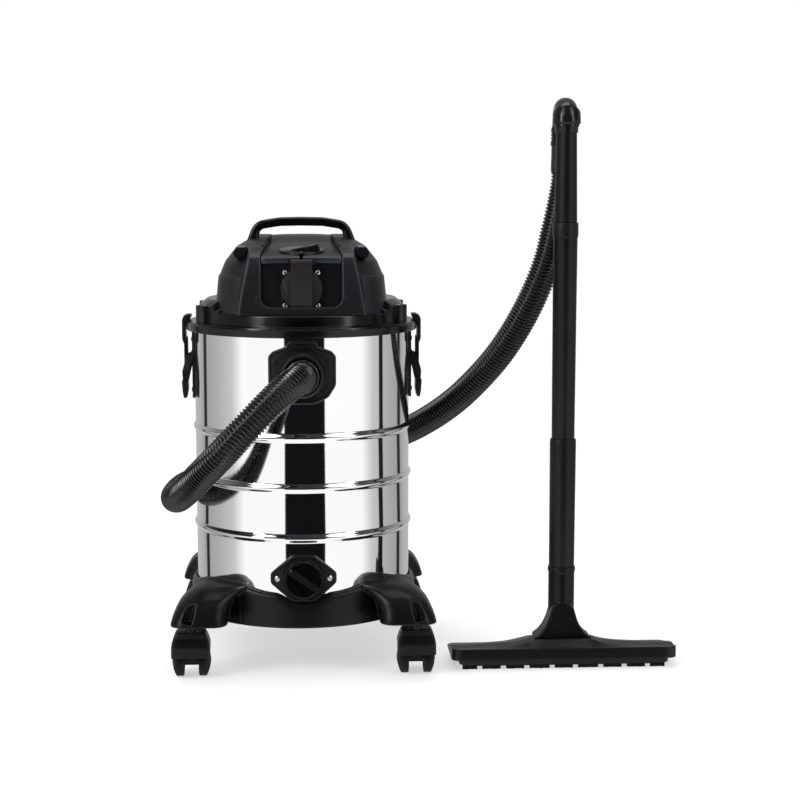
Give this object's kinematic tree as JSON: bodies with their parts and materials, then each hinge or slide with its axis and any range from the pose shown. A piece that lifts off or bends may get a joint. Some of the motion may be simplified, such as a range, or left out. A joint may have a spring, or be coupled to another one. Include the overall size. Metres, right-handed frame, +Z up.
{
  "type": "shop vacuum",
  "caption": "Wet and dry shop vacuum: polished steel tank on swivel casters, lift-off motor head, ribbed suction hose, upright wand and wide floor tool.",
  "frame": {"origin": "on the floor, under the middle of the whole object's box, wand included and hose left out", "axes": "+Z up, the front with the inlet and socket faces -Y, the wand stands on the +X side"},
  "size_m": [0.711, 0.478, 0.778],
  "materials": {
    "polished_steel": "mirror-polished stainless sheet",
    "charcoal_plastic": "fine spark-eroded texture",
    "satin_black": "satin moulded",
    "gloss_black": "gloss moulded",
    "flap_plastic": "matte brown-black",
    "hose_plastic": "semi-gloss ribbed",
    "rubber": "soft seal",
    "bristle": "brush strip",
    "wheel_rubber": "hard moulded",
    "zinc_steel": "bright zinc",
    "motor_plastic": "moulded",
    "copper_winding": "lacquered winding",
    "float_plastic": "smooth",
    "filter_paper": "pleated"
  },
  "bodies": {
    "tank": {"tank_shell": "polished_steel", "inlet_plate": "gloss_black", "inlet_collar": "satin_black", "inlet_deflector": "satin_black", "inlet_screws": "satin_black", "drain_plate": "gloss_black", "drain_screws": "zinc_steel", "base_frame": "satin_black", "latch_brackets": "satin_black", "latch_rivets": "zinc_steel", "hose_cuff": "satin_black", "hose": "hose_plastic"},
    "head": {"lid_base": "satin_black", "rim_seal": "rubber", "head_cover": "charcoal_plastic", "console": "satin_black", "carry_handle": "satin_black", "head_screws": "zinc_steel", "motor_housing": "motor_plastic", "stator": "copper_winding", "motor_bearings": "zinc_steel", "filter_cage": "satin_black", "filter_cartridge": "filter_paper", "switch_body": "satin_black", "socket_plate": "gloss_black", "socket_insert": "gloss_black", "socket_screws": "zinc_steel", "cord_gland": "satin_black", "blower_port": "satin_black"},
    "rotor": {"rotor": "zinc_steel", "impeller": "zinc_steel"},
    "float": {"float_ball": "float_plastic"},
    "knob": {"switch_knob": "satin_black"},
    "flap": {"socket_flap": "flap_plastic"},
    "drain_cap": {"drain_cap": "satin_black"},
    "lever_left": {"latch_lever_left": "satin_black"},
    "hook_left": {"latch_hook_left": "satin_black"},
    "lever_right": {"latch_lever_right": "satin_black"},
    "hook_right": {"latch_hook_right": "satin_black"},
    "wand": {"wand_elbow": "satin_black", "upper_tube": "satin_black", "lower_tube": "satin_black", "extension_tube": "satin_black", "tool_neck": "satin_black"},
    "floor_tool": {"tool_body": "satin_black", "tool_sole": "zinc_steel", "tool_bristles": "bristle"},
    "caster_front_left": {"caster_hood_front_left": "satin_black", "caster_pins_front_left": "satin_black"},
    "wheels_front_left": {"caster_wheels_front_left": "wheel_rubber"},
    "caster_front_right": {"caster_hood_front_right": "satin_black", "caster_pins_front_right": "satin_black"},
    "wheels_front_right": {"caster_wheels_front_right": "wheel_rubber"},
    "caster_rear_left": {"caster_hood_rear_left": "satin_black", "caster_pins_rear_left": "satin_black"},
    "wheels_rear_left": {"caster_wheels_rear_left": "wheel_rubber"},
    "caster_rear_right": {"caster_hood_rear_right": "satin_black", "caster_pins_rear_right": "satin_black"},
    "wheels_rear_right": {"caster_wheels_rear_right": "wheel_rubber"}
  },
  "joints": [
    {"name": "head_lift", "type": "slide", "parent": "tank", "child": "head", "axis": [0, 0, 1], "range_m": [0, 0.12]},
    {"name": "float_rise", "type": "slide", "parent": "head", "child": "float", "axis": [0, 0, 1], "range_m": [0, 0.09]},
    {"name": "motor_spin", "type": "hinge", "parent": "head", "child": "rotor", "pos_m": [-0.1695, 0.02, 0.51], "axis": [0, 0, 1], "continuous": true},
    {"name": "switch_turn", "type": "hinge", "parent": "head", "child": "knob", "pos_m": [-0.1695, -0.066, 0.5671], "axis": [0, -0.1219, 0.9925], "range_deg": [-45, 45]},
    {"name": "socket_flap_swing", "type": "hinge", "parent": "head", "child": "flap", "pos_m": [-0.1695, -0.11189, 0.5577], "axis": [-1, 0, 0], "range_deg": [0, 105], "stiffness_Nm_per_rad": 0.01, "springref_deg": -28.65},
    {"name": "drain_cap_turn", "type": "hinge", "parent": "tank", "child": "drain_cap", "pos_m": [-0.1695, -0.16, 0.1355], "axis": [0, -1, 0], "range_deg": [0, 90]},
    {"name": "latch_left_lever", "type": "hinge", "parent": "tank", "child": "lever_left", "pos_m": [-0.326, 0, 0.42], "axis": [0, 1, 0], "range_deg": [0, 90.1]},
    {"name": "latch_left_hook", "type": "hinge", "parent": "lever_left", "child": "hook_left", "pos_m": [-0.3315, 0, 0.4], "axis": [0, -1, 0], "range_deg": [0, 125.1]},
    {"name": "latch_right_lever", "type": "hinge", "parent": "tank", "child": "lever_right", "pos_m": [-0.013, 0, 0.42], "axis": [0, -1, 0], "range_deg": [0, 90.1]},
    {"name": "latch_right_hook", "type": "hinge", "parent": "lever_right", "child": "hook_right", "pos_m": [-0.0075, 0, 0.4], "axis": [0, 1, 0], "range_deg": [0, 125.1]},
    {"name": "swivel_front_left", "type": "hinge", "parent": "tank", "child": "caster_front_left", "pos_m": [-0.3215, -0.152, 0.07], "axis": [0, 0, 1], "continuous": true},
    {"name": "roll_front_left", "type": "hinge", "parent": "caster_front_left", "child": "wheels_front_left", "pos_m": [-0.3215, -0.137, 0.022], "axis": [1, 0, 0], "continuous": true},
    {"name": "swivel_front_right", "type": "hinge", "parent": "tank", "child": "caster_front_right", "pos_m": [-0.0175, -0.152, 0.07], "axis": [0, 0, 1], "continuous": true},
    {"name": "roll_front_right", "type": "hinge", "parent": "caster_front_right", "child": "wheels_front_right", "pos_m": [-0.0175, -0.137, 0.022], "axis": [1, 0, 0], "continuous": true},
    {"name": "swivel_rear_left", "type": "hinge", "parent": "tank", "child": "caster_rear_left", "pos_m": [-0.3215, 0.152, 0.07], "axis": [0, 0, 1], "continuous": true},
    {"name": "roll_rear_left", "type": "hinge", "parent": "caster_rear_left", "child": "wheels_rear_left", "pos_m": [-0.3215, 0.137, 0.022], "axis": [1, 0, 0], "continuous": true},
    {"name": "swivel_rear_right", "type": "hinge", "parent": "tank", "child": "caster_rear_right", "pos_m": [-0.0175, 0.152, 0.07], "axis": [0, 0, 1], "continuous": true},
    {"name": "roll_rear_right", "type": "hinge", "parent": "caster_rear_right", "child": "wheels_rear_right", "pos_m": [-0.0175, 0.137, 0.022], "axis": [1, 0, 0], "continuous": true},
    {"name": "wand_lift", "type": "slide", "parent": "tank", "child": "wand", "axis": [0, 0, 1], "range_m": [0, 0.05]},
    {"name": "tool_tilt", "type": "hinge", "parent": "wand", "child": "floor_tool", "pos_m": [0.1875, -0.095, 0.03], "axis": [1, 0, 0], "range_deg": [-15, 60]}
  ],
  "couplings": [
    {"joint": "latch_left_lever", "follows": "head_lift", "rad_per_m": 13.09},
    {"joint": "latch_left_hook", "follows": "head_lift", "rad_per_m": 18.181},
    {"joint": "latch_right_lever", "follows": "head_lift", "rad_per_m": 13.09},
    {"joint": "latch_right_hook", "follows": "head_lift", "rad_per_m": 18.181}
  ]
}
